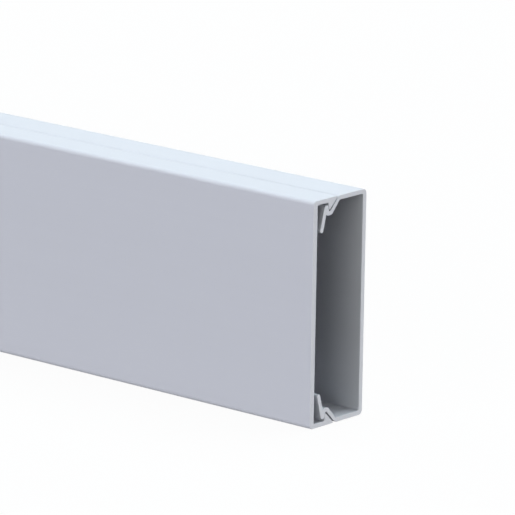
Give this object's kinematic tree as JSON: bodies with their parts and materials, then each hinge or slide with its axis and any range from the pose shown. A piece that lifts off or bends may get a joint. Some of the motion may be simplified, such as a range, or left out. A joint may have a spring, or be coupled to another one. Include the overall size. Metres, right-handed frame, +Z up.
{
  "type": "cable trunking",
  "caption": "Straight length of shallow rectangular plastic cable trunking: a wall channel with snap-lock flaps along its open side and a clip-on lid that slides along it.",
  "frame": {"origin": "middle of the length and of the depth, on the floor that the narrow side stands on", "axes": "+X along the length, +Y out of the back that goes against the wall, with the lid's face towards -Y, +Z up across the section"},
  "size_m": [2, 0.021, 0.06],
  "materials": {
    "base_pvc": "extruded rigid PVC, smooth and nearly matt, with faint die lines along the length",
    "lid_pvc": "extruded rigid PVC, smooth and nearly matt, with faint die lines along the length"
  },
  "bodies": {
    "base": {"base": "base_pvc"},
    "lid": {"lid": "lid_pvc"}
  },
  "joints": [
    {"name": "lid_slide", "type": "slide", "parent": "base", "child": "lid", "axis": [1, 0, 0], "range_m": [-2, 2]}
  ]
}
